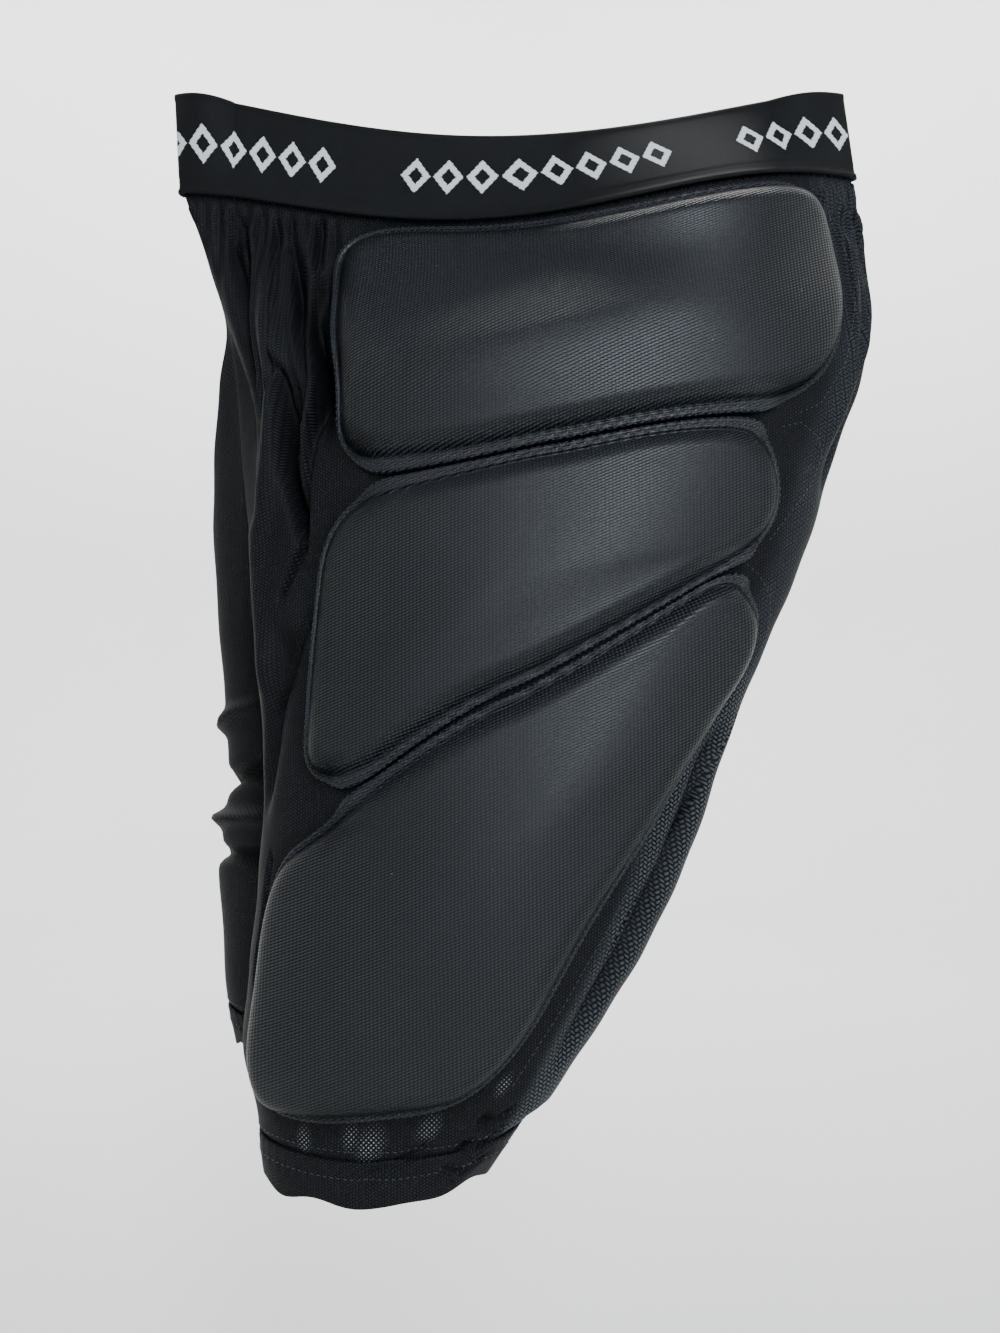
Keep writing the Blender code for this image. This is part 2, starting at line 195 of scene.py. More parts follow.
def patternTable(side):
    across = np.linspace(-1, 2, patternGrid["across"] + 1)
    down = np.linspace(0, 1, patternGrid["down"] + 1)
    points = smoothCloth(side, across[None, :], down[:, None])
    steps = np.linalg.norm(np.diff(points, axis=1), axis=-1)
    run = np.concatenate([np.zeros((len(down), 1)), np.cumsum(steps, axis=1)], axis=1)
    middle = patternGrid["across"] // 2
    run = run - run[:, middle : middle + 1] + points[:, middle : middle + 1, 0]
    return np.stack([run, points[..., 2]], axis=-1)


patternTables = {side: patternTable(side) for side in (left, right)}


def clothPattern(side, across, down):
    table = patternTables[side]
    a = np.clip((across + 1) / 3 * patternGrid["across"], 0, patternGrid["across"] - 0.001)
    d = np.clip(down * patternGrid["down"], 0, patternGrid["down"] - 0.001)
    i, j = a.astype(int), d.astype(int)
    fa, fd = (a - i)[..., None], (d - j)[..., None]
    upper = table[j, i] * (1 - fa) + table[j, i + 1] * fa
    lower = table[j + 1, i] * (1 - fa) + table[j + 1, i + 1] * fa
    return upper * (1 - fd) + lower * fd


def localScale(side, across, down):
    step = 0.003
    a = smoothCloth(side, across + step, down) - smoothCloth(side, across - step, down)
    d = smoothCloth(side, across, down + step) - smoothCloth(side, across, down - step)
    return np.stack([np.linalg.norm(a, axis=-1), np.linalg.norm(d, axis=-1)], axis=-1) / (2 * step)


# Pads
pads = {
    "edgeRound": 0.0115, "edgePower": 2.1, "thickness": 0.0125, "crown": 0.0024,
    "corner": 0.030, "longestCorner": 0.48, "around": 300,
    "flange": 0.0042, "seat": 0.0004, "tremble": 0.00010, "between": 0.0003, "raise": 0.0046,
    "raiseEnd": 0.12, "underRings": 6, "edgeRings": 15, "topRings": 26, "softening": 0.22,
    "sewnFade": 7, "roundedSpan": (-8, 14),
    # heights of the sewn edge, from near its rim (1) to near the pad (0)
    "sewnHeights": (
        (0.92, 0.0000), (0.84, 0.00045), (0.72, 0.0009), (0.60, 0.0010), (0.50, 0.0006),
        (0.42, 0.0004), (0.34, 0.0007), (0.24, 0.0011), (0.14, 0.0009), (0.05, 0.0004),
    ),
}
padCorners = {
    "hip_pad": (
        (0.335, 0.012, 1.1), (0.806, 0.012, 0.7), (0.806, 0.245, 1.2), (0.570, 0.270, 0.8),
        (0.430, 0.304, 0.6), (0.276, 0.311, 0.9), (0.280, 0.200, 0.5),
    ),
    "side_pad": (
        (0.264, 0.356, 1.0), (0.420, 0.328, 0.6), (0.600, 0.288, 0.6), (0.725, 0.285, 0.8),
        (0.792, 0.376, 0.6), (0.330, 0.612, 0.5), (0.232, 0.606, 0.45),
    ),
    "thigh_pad": (
        (0.728, 0.426, 0.5), (0.865, 0.492, 0.7), (0.775, 0.615, 0.8), (0.675, 0.760, 0.8),
        (0.655, 0.905, 1.3), (0.310, 0.922, 1.0), (0.165, 0.916, 0.8), (0.160, 0.705, 1.0),
        (0.290, 0.664, 0.5),
    ),
}


def evenly(points, count, closed=False):
    # the same line with points at even distances
    if closed:
        points = np.concatenate([points, points[:1]])
    run = np.concatenate([[0], np.cumsum(np.linalg.norm(np.diff(points, axis=0), axis=1))])
    places = np.linspace(0, run[-1], count, endpoint=not closed)
    return np.stack([np.interp(places, run, points[:, k]) for k in range(points.shape[1])], axis=1)


def padOutline(side, pad):
    corners = np.array(padCorners[pad])
    places = flatPlaces(side, corners[:, 0], corners[:, 1])
    line = []
    for i, here in enumerate(places):
        ends = []
        for other in (places[i - 1], places[(i + 1) % len(places)]):
            edge = other - here
            share = corners[i, 2] * pads["corner"] / np.linalg.norm(edge)
            ends.append(here + edge * min(share, pads["longestCorner"]))
        for t in np.linspace(0, 1, 24)[:, None]:
            line.append(ends[0] * (1 - t) ** 2 + 2 * here * t * (1 - t) + ends[1] * t**2)
    line = evenly(np.array(line), pads["around"], closed=True)
    for _ in range(12):  # eases the joins of lines and curves
        line = line / 2 + (np.roll(line, 1, axis=0) + np.roll(line, -1, axis=0)) / 4
    return line / flatPlaces(side, np.ones(1), np.ones(1))


padOutlines = {(side, pad): padOutline(side, pad) for side in (left, right) for pad in padCorners}


def flangeShape(side, pad):
    # where two pads lie close, their sewn edges widen, meet and are held up between them
    size = flatPlaces(side, np.ones(1), np.ones(1))
    line = padOutlines[side, pad] * size
    others = np.concatenate([padOutlines[side, name] * size for name in padCorners if name != pad])
    apart = np.linalg.norm(line[:, None] - others[None], axis=-1).min(axis=1)
    close = 1 - smoothStep((apart - 0.0150) / 0.008)
    width = pads["flange"] * (1 - close) + (apart - pads["between"]) / 2 * close
    for _ in range(6):
        width = width / 2 + (np.roll(width, 1) + np.roll(width, -1)) / 4
    return width, close * pads["raise"]


flangeShapes = {key: flangeShape(*key) for key in padOutlines}


def padInset(side, outline):
    # for each outline point: the way to the middle, its length square to the edge, and the
    # step over the cloth that leads one metre outwards
    scale = localScale(side, outline[:, 0], outline[:, 1])
    along = (np.roll(outline, -1, axis=0) - np.roll(outline, 1, axis=0)) * scale
    along = along / np.linalg.norm(along, axis=1, keepdims=True)
    inward = np.stack([-along[:, 1], along[:, 0]], axis=1)
    toMiddle = outline.mean(axis=0) - outline
    reach = np.sum(toMiddle * scale * inward, axis=1)
    return toMiddle, reach, -inward / scale


def outsideDistance(side, across, down):
    # distance over the cloth to the nearest pad, below 0 under a pad
    spots = flatPlaces(side, across.ravel(), down.ravel())
    result = np.full(len(spots), 1.0)
    for pad in padCorners:
        line = padOutlines[side, pad][::2] * flatPlaces(side, np.ones(1), np.ones(1))
        nextLine = np.roll(line, -1, axis=0)
        for start in range(0, len(spots), 4000):
            part = spots[start : start + 4000, None]
            near = np.sqrt(((part - line) ** 2).sum(axis=-1)).min(axis=1)
            crosses = (line[:, 1] > part[..., 1]) != (nextLine[:, 1] > part[..., 1])
            rise = nextLine[:, 1] - line[:, 1]
            rise = np.where(np.abs(rise) < 1e-12, 1e-12, rise)
            meet = line[:, 0] + (part[..., 1] - line[:, 1]) / rise * (nextLine[:, 0] - line[:, 0])
            inside = (crosses & (part[..., 0] < meet)).sum(axis=1) % 2 == 1
            signed = np.where(inside, -near, near)
            result[start : start + 4000] = np.minimum(result[start : start + 4000], signed)
    return result.reshape(across.shape)


# Folds of the cloth: each is a line of places, its width and its height in metres
folds = {
    "hanging": (
        (((0.185, 0.03), (0.030, 0.30)), 0.0086, -0.0054),
        (((0.235, 0.03), (0.080, 0.42)), 0.0094, 0.0054),
        (((0.262, 0.06), (0.165, 0.32)), 0.0079, -0.0054),
        (((0.060, 0.34), (0.110, 0.56)), 0.0115, 0.0036),
        (((0.190, 0.46), (0.050, 0.66)), 0.0101, -0.0042),
        (((0.860, 0.05), (0.870, 0.32)), 0.0079, 0.0036),
        (((0.925, 0.05), (0.930, 0.36)), 0.0079, -0.0048),
        (((0.870, 0.56), (0.790, 0.92)), 0.0101, -0.0048),
    ),
    "fine": (
        (((0.195, 0.01), (0.146, 0.12), (0.090, 0.20)), 0.0030, -0.0026),
        (((0.216, 0.01), (0.160, 0.12), (0.105, 0.20), (0.077, 0.29)), 0.0030, 0.0020),
        (((0.258, 0.00), (0.207, 0.12), (0.155, 0.20), (0.100, 0.27)), 0.0018, -0.0018),
        (((0.274, 0.00), (0.234, 0.12), (0.206, 0.20), (0.206, 0.29)), 0.0028, 0.0018),
        (((0.171, 0.18), (0.166, 0.24), (0.171, 0.30), (0.197, 0.36), (0.214, 0.40)), 0.0042, -0.0046),
        (((0.278, 0.00), (0.242, 0.12), (0.217, 0.20)), 0.0016, -0.0014),
        (((0.291, 0.00), (0.261, 0.11), (0.234, 0.20), (0.217, 0.27), (0.211, 0.36)), 0.0030, 0.0026),
        (((0.273, 0.10), (0.245, 0.20), (0.228, 0.27), (0.212, 0.33), (0.208, 0.42)), 0.0022, -0.0026),
        (((0.321, 0.00), (0.301, 0.04), (0.284, 0.08)), 0.0016, -0.0018),
        (((0.307, 0.00), (0.290, 0.05), (0.272, 0.10)), 0.0020, 0.0014),
        (((0.317, 0.06), (0.280, 0.12), (0.251, 0.19), (0.242, 0.26), (0.256, 0.30)), 0.0040, -0.0034),
        (((0.158, 0.30), (0.182, 0.34), (0.214, 0.38)), 0.0022, -0.0018),
        (((0.214, 0.38), (0.186, 0.41), (0.146, 0.45)), 0.0026, -0.0024),
        (((0.240, 0.44), (0.170, 0.52), (0.100, 0.57)), 0.0034, -0.0016),
        (((0.133, 0.68), (0.125, 0.73), (0.118, 0.77), (0.120, 0.82)), 0.0024, -0.0022),
        (((0.262, 0.02), (0.252, 0.12), (0.249, 0.22), (0.256, 0.29)), 0.0046, -0.0024),
        (((0.340, 0.035), (0.362, 0.020)), 0.0016, -0.0012),
        (((0.368, 0.022), (0.390, 0.008)), 0.0016, -0.0012),
        (((0.395, 0.014), (0.416, 0.002)), 0.0016, -0.0012),
        (((0.818, 0.00), (0.843, 0.04), (0.850, 0.09), (0.842, 0.15), (0.850, 0.22)), 0.0022, 0.0012),
        (((0.861, 0.00), (0.884, 0.05), (0.895, 0.10), (0.885, 0.16), (0.873, 0.24)), 0.0022, 0.0014),
        (((0.905, 0.00), (0.930, 0.06), (0.938, 0.14), (0.918, 0.24)), 0.0022, 0.0014),
        (((0.838, 0.02), (0.866, 0.08), (0.866, 0.15), (0.862, 0.22)), 0.0018, -0.0012),
        (((0.964, 0.54), (0.920, 0.60), (0.849, 0.67), (0.785, 0.75), (0.762, 0.82)), 0.0018, -0.0016),
        (((0.640, 0.930), (0.690, 0.940), (0.740, 0.925)), 0.0020, -0.0024),
        (((0.620, 0.950), (0.690, 0.962), (0.750, 0.945)), 0.0020, -0.0022),
        (((0.600, 0.970), (0.680, 0.985), (0.750, 0.970)), 0.0020, -0.0018),
        (((0.560, 0.940), (0.500, 0.965), (0.440, 0.975)), 0.0028, -0.0010),
    ),
    "drawnUp": (
        (((-0.60, 0.66), (0.00, 0.69), (0.16, 0.72)), 0.0050, -0.0045),
        (((-0.60, 0.72), (0.00, 0.735), (0.14, 0.76)), 0.0045, 0.0040),
        (((-0.60, 0.77), (0.00, 0.775), (0.12, 0.79)), 0.0042, -0.0036),
        (((-0.50, 0.58), (0.02, 0.62), (0.16, 0.66)), 0.0050, 0.0026),
    ),
}


def foldHeights(side, across, down):
    spots = flatPlaces(side, across, down)
    total = np.zeros(across.shape)
    broad = [fold[0] for fold in folds["hanging"]]
    chosen = folds["hanging"] + folds["fine"] + (folds["drawnUp"] if side == right else ())
    for line, width, height in chosen:
        points = flatPlaces(side, *np.array(line).T)
        lengths = np.linalg.norm(np.diff(points, axis=0), axis=1)
        whole, passed = lengths.sum(), 0.0
        nearest = np.full(across.shape, 1.0)
        place = np.zeros(across.shape)
        for start, end, length in zip(points, points[1:], lengths):
            t = np.clip((spots - start) @ (end - start) / length**2, 0, 1)
            distance = np.linalg.norm(spots - start - t[..., None] * (end - start), axis=-1)
            closer = distance < nearest
            nearest = np.where(closer, distance, nearest)
            place = np.where(closer, (passed + t * length) / whole, place)
            passed += length
        fade = smoothStep(place / relief["foldStart"]) * smoothStep((1 - place) / relief["foldEnd"])
        deeper = relief["broadFolds"] if line in broad else relief["fineFolds"]
        total += height * deeper * np.exp(-((nearest / width) ** 2)) * fade
    return total


relief = {
    "fineFolds": 2.4, "broadFolds": 1.25, "foldStart": 0.15, "foldEnd": 0.25,
    "gatherHeight": 0.0013, "gatherPitch": 0.0074, "gatherReach": 0.14,
    "grooveDepth": 0.0008, "grooveReach": 0.006, "waver": 0.0005,
    "lobe": 0.0055, "lobeEnd": 0.938,
    "shadeDepth": 0.0075, "shadeReach": 0.009, "shadeBeside": 0.8,
}


def reliefHeights(side, across, down):
    # folds fade under the pads and where the cloth goes under the band
    outside = outsideDistance(side, across, down)
    clear = smoothStep((outside - 0.001) / 0.006)
    pattern = clothPattern(side, across, down)
    gather = np.sin(pattern[..., 0] / relief["gatherPitch"] * 2 * math.pi)
    gather = gather + 0.6 * np.sin(pattern[..., 0] / relief["gatherPitch"] * 3.7 + 1.3)
    gather = gather * relief["gatherHeight"] * (1 - smoothStep(down / relief["gatherReach"]))
    gather = gather * smoothStep((across - 0.02) / 0.06)
    waver = np.sin(pattern[..., 0] * 97 + pattern[..., 1] * 61) * np.sin(pattern[..., 1] * 83 - 0.7)
    heights = foldHeights(side, across, down) + gather + relief["waver"] * waver
    sunk = relief["grooveDepth"] * np.exp(-((outside / relief["grooveReach"]) ** 2))
    start = smoothStep(down / 0.02)
    inner = smoothStep((across + 0.10) / 0.12) * smoothStep((1.10 - across) / 0.12)
    inner = np.maximum(inner, 0.8 * smoothStep((down - shape["crotch"]) / 0.08))
    heights = heights * clear * start * inner
    # painted shade: a mark that darkens the knit in deep folds and close beside the pads, on the front half
    # and near the hem
    shaded = np.maximum(smoothStep((0.50 - across) / 0.1), smoothStep((down - 0.84) / 0.04))
    beside = np.exp(-((outside / relief["shadeReach"]) ** 2)) * shaded
    paintedShade = np.clip(-heights / relief["shadeDepth"] + relief["shadeBeside"] * beside, 0, 1)
    return heights - sunk * clear, paintedShade


def foldedCloth(side, across, down, lift=0.0, heights=None):
    if heights is None:
        heights = reliefHeights(side, across, down)[0]
    raised = heights + lift
    points = smoothCloth(side, across, down)
    points = points + raised[..., None] * clothNormals(side, across, down)
    # under the rear strip's rounded end the hem is drawn in
    below = smoothStep((down - relief["lobeEnd"]) / 0.014)
    points[..., 0] -= relief["lobe"] * below * np.exp(-(((across - 1.0) / 0.22) ** 2))
    return points


def gridPiece(name, columns, rows, place, material, weld=0.0):
    # a grid whose points are moved by place(u, v), which also gives their pattern coordinates
    bm = bmesh.new()
    bmesh.ops.create_grid(bm, x_segments=columns, y_segments=rows, size=1.0)
    spots = np.array([v.co[:2] for v in bm.verts])
    points, pattern, marks = place((spots[:, 0] + 1) / 2, (1 - spots[:, 1]) / 2)
    uv = bm.loops.layers.uv.new("cloth")
    layers = {key: bm.verts.layers.float.new(key) for key in marks}
    for i, vert in enumerate(bm.verts):
        vert.co = points[i]
        vert.index = i
        for key, layer in layers.items():
            vert[layer] = float(marks[key][i])
    for face in bm.faces:
        for loop in face.loops:
            loop[uv].uv = pattern[loop.vert.index]
    if weld:
        bmesh.ops.remove_doubles(bm, verts=bm.verts, dist=weld)
        bmesh.ops.dissolve_degenerate(bm, edges=bm.edges, dist=weld / 4)
    bmesh.ops.recalc_face_normals(bm, faces=bm.faces)
    mesh = bpy.data.meshes.new(name)
    bm.to_mesh(mesh)
    bm.free()
    mesh.shade_smooth()
    mesh.materials.append(material)
    obj = bpy.data.objects.new(name, mesh)
    bpy.context.scene.collection.objects.link(obj)
    return obj


def addWall(obj, thickness, materialOffset=0):
    wall = obj.modifiers.new("wall", "SOLIDIFY")
    wall.thickness = thickness
    wall.offset = -1.0
    wall.material_offset = materialOffset
    return wall


def outwards(obj, middle):
    # turns a shell's faces so that they look away from its middle line
    mesh = obj.data
    centres = np.zeros(len(mesh.polygons) * 3)
    normals = np.zeros(len(mesh.polygons) * 3)
    mesh.polygons.foreach_get("center", centres)
    mesh.polygons.foreach_get("normal", normals)
    centres, normals = centres.reshape(-1, 3), normals.reshape(-1, 3)
    if np.sum((centres - middle(centres)) * normals) < 0:
        mesh.flip_normals()


# Materials
def newMaterial(name, roughness, sheen=0.0, specular=0.25):
    material = bpy.data.materials.new(name)
    material.use_nodes = True
    shader = material.node_tree.nodes["Principled BSDF"]
    shader.inputs["Roughness"].default_value = roughness
    shader.inputs["Specular IOR Level"].default_value = specular
    shader.inputs["Sheen Weight"].default_value = sheen
    shader.inputs["Sheen Roughness"].default_value = 0.5
    shader.inputs["Sheen Tint"].default_value = (0.80, 0.88, 1.0, 1.0)
    return material, shader


def calculate(tree, operation, first, second=None, clamp=False):
    node = tree.nodes.new("ShaderNodeMath")
    node.operation = operation
    node.use_clamp = clamp
    for socket, value in zip(node.inputs, (first, second)):
        if value is None:
            continue
        if isinstance(value, (int, float)):
            socket.default_value = value
        else:
            tree.links.new(value, socket)
    return node.outputs[0]


def blendColours(tree, share, first, second):
    node = tree.nodes.new("ShaderNodeMix")
    node.data_type = "RGBA"
    tree.links.new(share, node.inputs["Factor"])
    for socket, value in ((node.inputs["A"], first), (node.inputs["B"], second)):
        if isinstance(value, tuple):
            socket.default_value = (*value, 1.0)
        else:
            tree.links.new(value, socket)
    return node.outputs["Result"]


def clothCoordinates(tree):
    uv = tree.nodes.new("ShaderNodeUVMap")
    uv.uv_map = "cloth"
    parts = tree.nodes.new("ShaderNodeSeparateXYZ")
    tree.links.new(uv.outputs["UV"], parts.inputs[0])
    return parts.outputs["X"], parts.outputs["Y"]


def stitchDashes(tree, u, v, wale, course, lean, alternate=False):
    # rows of short slanted loops, one in each cell, that rise to 1 along their middles
    a = calculate(tree, "DIVIDE", u, wale)
    b = calculate(tree, "DIVIDE", v, course)
    column = calculate(tree, "FLOOR", a)
    odd = calculate(tree, "FLOORED_MODULO", column, 2.0)
    fa = calculate(tree, "SUBTRACT", calculate(tree, "FRACT", a), 0.5)
    shifted = calculate(tree, "ADD", b, calculate(tree, "MULTIPLY", odd, 0.5))
    fb = calculate(tree, "SUBTRACT", calculate(tree, "FRACT", shifted), 0.5)
    slope = lean
    if alternate:
        turn = calculate(tree, "SUBTRACT", 1.0, calculate(tree, "MULTIPLY", odd, 2.0))
        slope = calculate(tree, "MULTIPLY", turn, lean)
    skewed = calculate(tree, "SUBTRACT", fb, calculate(tree, "MULTIPLY", fa, slope))
    wide = calculate(tree, "POWER", calculate(tree, "DIVIDE", skewed, 0.36), 2.0)
    high = calculate(tree, "POWER", calculate(tree, "DIVIDE", fa, 0.52), 2.0)
    rest = calculate(tree, "SUBTRACT", 1.0, calculate(tree, "ADD", wide, high), clamp=True)
    return calculate(tree, "POWER", rest, 0.5)


def noise(tree, scale, detail=3.0, roughness=0.6):
    place = tree.nodes.new("ShaderNodeTexCoord")
    node = tree.nodes.new("ShaderNodeTexNoise")
    node.inputs["Scale"].default_value = scale
    node.inputs["Detail"].default_value = detail
    node.inputs["Roughness"].default_value = roughness
    tree.links.new(place.outputs["Object"], node.inputs["Vector"])
    return node.outputs["Fac"]


def addBump(tree, shader, height, strength, distance):
    node = tree.nodes.new("ShaderNodeBump")
    node.inputs["Strength"].default_value = strength
    node.inputs["Distance"].default_value = distance
    tree.links.new(height, node.inputs["Height"])
    tree.links.new(node.outputs["Normal"], shader.inputs["Normal"])


def readMark(tree, name):
    node = tree.nodes.new("ShaderNodeAttribute")
    node.attribute_name = name
    return node.outputs["Fac"]


# the gap colour is also the colour that the painted shade mixes into the knit
knitLook = {
    "gap": (0.0010, 0.0011, 0.0014), "thread": (0.0180, 0.0186, 0.0222), "paintedBacklight": (0.42, 0.42, 0.42),
    "strip": (0.072, 0.080, 0.092), "mesh": 0.0022, "dotSize": 0.075,
    "wale": 0.0014, "course": 0.0015, "coarse": 0.0021, "bump": 0.0008, "shade": 0.85,
    "roughness": 0.60, "shine": 0.12,
}


def meshDots(tree, u, v, pitch):
    # small round dots on a slanting grid
    first = calculate(tree, "DIVIDE", calculate(tree, "ADD", u, v), pitch)
    second = calculate(tree, "DIVIDE", calculate(tree, "SUBTRACT", u, v), pitch)
    x = calculate(tree, "SUBTRACT", calculate(tree, "FRACT", first), 0.5)
    y = calculate(tree, "SUBTRACT", calculate(tree, "FRACT", second), 0.5)
    x, y = calculate(tree, "POWER", x, 2.0), calculate(tree, "POWER", y, 2.0)
    square = calculate(tree, "DIVIDE", calculate(tree, "ADD", x, y), knitLook["dotSize"])
    return calculate(tree, "SUBTRACT", 1.0, square, clamp=True)


def makeKnit():
    material, shader = newMaterial("shorts knit", knitLook["roughness"], specular=knitLook["shine"])
    tree = material.node_tree
    u, v = clothCoordinates(tree)
    fine = stitchDashes(tree, u, v, knitLook["wale"], knitLook["course"], 0.7, alternate=True)
    coarse = stitchDashes(tree, u, v, knitLook["coarse"], knitLook["coarse"], 0.5, alternate=True)
    coarseShare = readMark(tree, "coarse")
    step = calculate(tree, "SUBTRACT", coarse, fine)
    height = calculate(tree, "ADD", fine, calculate(tree, "MULTIPLY", step, coarseShare))
    patches = calculate(tree, "MULTIPLY", noise(tree, 26.0), 0.7)
    share = calculate(tree, "MULTIPLY", height, calculate(tree, "ADD", patches, 0.55), clamp=True)
    bright = blendColours(tree, coarseShare, knitLook["thread"], knitLook["strip"])
    colour = blendColours(tree, share, knitLook["gap"], bright)
    # painted light: pale dots where the knit is open stand for the bright wall seen through its holes
    dots = meshDots(tree, u, v, knitLook["mesh"])
    uneven = calculate(tree, "ADD", patches, 0.6)
    shown = calculate(tree, "MULTIPLY", readMark(tree, "open"), uneven)
    paintedBacklight = calculate(tree, "MULTIPLY", dots, shown, clamp=True)
    colour = blendColours(tree, paintedBacklight, colour, knitLook["paintedBacklight"])
    # painted shade: deep folds and the cloth beside the pads are darkened toward the gap colour
    shade = calculate(tree, "MULTIPLY", readMark(tree, "paintedShade"), knitLook["shade"])
    colour = blendColours(tree, shade, colour, knitLook["gap"])
    tree.links.new(colour, shader.inputs["Base Color"])
    addBump(tree, shader, height, 1.0, knitLook["bump"])
    return material


coverLook = {
    "gap": (0.0005, 0.0006, 0.0008), "thread": (0.0350, 0.0385, 0.0465), "lint": (0.14, 0.15, 0.16),
    "wale": 0.0016, "course": 0.00135, "bump": 0.0010, "shade": 0.60,
    "roughness": 0.39, "shine": 0.34, "duller": 0.75, "sewnFlat": 0.7, "lintLevel": 0.83,
}


def makeCover():
    material, shader = newMaterial("pad cover", coverLook["roughness"])
    tree = material.node_tree
    u, v = clothCoordinates(tree)
    dashes = stitchDashes(tree, u, v, coverLook["wale"], coverLook["course"], 0.55)
    patches = calculate(tree, "MULTIPLY", noise(tree, 14.0, 2.0), 0.5)
    grain = calculate(tree, "MULTIPLY", noise(tree, 900.0, 2.0), 0.7)
    level = calculate(tree, "ADD", calculate(tree, "ADD", patches, grain), 0.15)
    share = calculate(tree, "MULTIPLY", dashes, level, clamp=True)
    colour = blendColours(tree, share, coverLook["gap"], coverLook["thread"])
    speck = calculate(tree, "GREATER_THAN", noise(tree, 420.0, 1.0), coverLook["lintLevel"])
    colour = blendColours(tree, speck, colour, coverLook["lint"])
    # painted shade: the pad's rounded sides are darkened toward the gap colour and given less shine
    shade = calculate(tree, "MULTIPLY", readMark(tree, "paintedSideShade"), coverLook["shade"])
    colour = blendColours(tree, shade, colour, coverLook["gap"])
    tree.links.new(colour, shader.inputs["Base Color"])
    less = calculate(tree, "MULTIPLY", readMark(tree, "paintedSideShade"), -coverLook["duller"] * coverLook["shine"])
    shine = calculate(tree, "ADD", less, coverLook["shine"])
    tree.links.new(shine, shader.inputs["Specular IOR Level"])
    flatter = calculate(tree, "MULTIPLY", readMark(tree, "sewn"), coverLook["sewnFlat"])
    flatter = calculate(tree, "SUBTRACT", 1.0, flatter)
    addBump(tree, shader, calculate(tree, "MULTIPLY", dashes, flatter), 1.0, coverLook["bump"])
    return material


elasticLook = {
    "dark": (0.0018, 0.0019, 0.0021), "thread": (0.0095, 0.0100, 0.0110), "mark": (0.62, 0.63, 0.64),
    "pitch": 0.01545, "high": 0.0094, "wide": 0.0070, "hollow": 0.50, "perGroup": 8, "group": 10,
    "start": -0.0470, "middle": 0.0235, "cell": 0.0006,
    "wale": 0.0007, "course": 0.00055, "roughness": 0.65, "shine": 0.12,
}


def snapped(tree, value, cell):
    steps = calculate(tree, "FLOOR", calculate(tree, "DIVIDE", value, cell))
    return calculate(tree, "MULTIPLY", steps, cell)


def makeElastic():
    look = elasticLook
    material, shader = newMaterial("band elastic", look["roughness"], specular=look["shine"])
    tree = material.node_tree
    u, v = clothCoordinates(tree)
    ribs = stitchDashes(tree, u, v, look["wale"], look["course"], 0.2)
    grain = calculate(tree, "MULTIPLY", noise(tree, 60.0), 0.9)
    share = calculate(tree, "MULTIPLY", ribs, calculate(tree, "ADD", grain, 0.35), clamp=True)
    colour = blendColours(tree, share, look["dark"], look["thread"])
    along = calculate(tree, "SUBTRACT", snapped(tree, u, look["cell"]), look["start"])
    along = calculate(tree, "DIVIDE", along, look["pitch"])
    inGroup = calculate(tree, "FLOORED_MODULO", along, float(look["group"]))
    shown = calculate(tree, "LESS_THAN", inGroup, float(look["perGroup"]))
    across = calculate(tree, "SUBTRACT", calculate(tree, "FRACT", along), 0.5)
    across = calculate(tree, "ABSOLUTE", across)
    across = calculate(tree, "MULTIPLY", across, look["pitch"] / look["wide"])
    high = calculate(tree, "SUBTRACT", snapped(tree, v, look["cell"]), look["middle"])
    high = calculate(tree, "DIVIDE", calculate(tree, "ABSOLUTE", high), look["high"])
    ring = calculate(tree, "ADD", across, high)
    outer = calculate(tree, "LESS_THAN", ring, 1.0)
    inner = calculate(tree, "GREATER_THAN", ring, look["hollow"])
    mark = calculate(tree, "MULTIPLY", calculate(tree, "MULTIPLY", outer, inner), shown)
    worn = calculate(tree, "MULTIPLY", mark, calculate(tree, "ADD", ribs, 0.72), clamp=True)
    colour = blendColours(tree, worn, colour, look["mark"])
    tree.links.new(colour, shader.inputs["Base Color"])
    height = calculate(tree, "ADD", ribs, calculate(tree, "MULTIPLY", mark, 0.6))
    addBump(tree, shader, height, 0.6, 0.0002)
    return material


def makeLining():
    material, shader = newMaterial("band lining", 0.8, 0.2)
    tree = material.node_tree
    u, v = clothCoordinates(tree)
    ribs = stitchDashes(tree, u, v, 0.0008, 0.0008, 0.0)
    colour = blendColours(tree, ribs, (0.30, 0.31, 0.31), (0.55, 0.56, 0.56))
    tree.links.new(colour, shader.inputs["Base Color"])
    addBump(tree, shader, ribs, 0.5, 0.0002)
    return material


def makeThread():
    material, shader = newMaterial("sewing thread", 0.5, 0.2)
    tree = material.node_tree
    colour = blendColours(tree, noise(tree, 700.0), (0.012, 0.013, 0.015), (0.060, 0.064, 0.072))
    tree.links.new(colour, shader.inputs["Base Color"])
    addBump(tree, shader, noise(tree, 2400.0), 0.5, 0.0001)
    return material


def makeWall():
    material, shader = newMaterial("pale wall", 0.9)
    tree = material.node_tree
    colour = blendColours(tree, noise(tree, 2.0), (0.50, 0.51, 0.495), (0.54, 0.55, 0.535))
    tree.links.new(colour, shader.inputs["Base Color"])
    return material


knit, cover, elastic = makeKnit(), makeCover(), makeElastic()
lining, thread, wallPaint = makeLining(), makeThread(), makeWall()
print("materials made")


# Body of the shorts, one half at a time
body = {
    "front": 92, "middle": 56, "back": 48, "inner": 22, "rows": 200, "thickness": 0.0013,
    "underHem": 0.007, "tuckIn": 0.0019,
    "cut": {left: (0.525, 0.596, 0.192), right: (0.570, 0.573, 0.191)},
    "tuckRows": 3, "coarse": 0.45,
    "openPatches": (
        (0.302, 0.944, 0.007), (0.455, 0.943, 0.009), (0.415, 0.937, 0.006),
        (0.545, 0.931, 0.007), (0.668, 0.902, 0.005),
    ),
}
hemLine = 1 - shape["hemHeight"] / shape["lengths"][left][0]


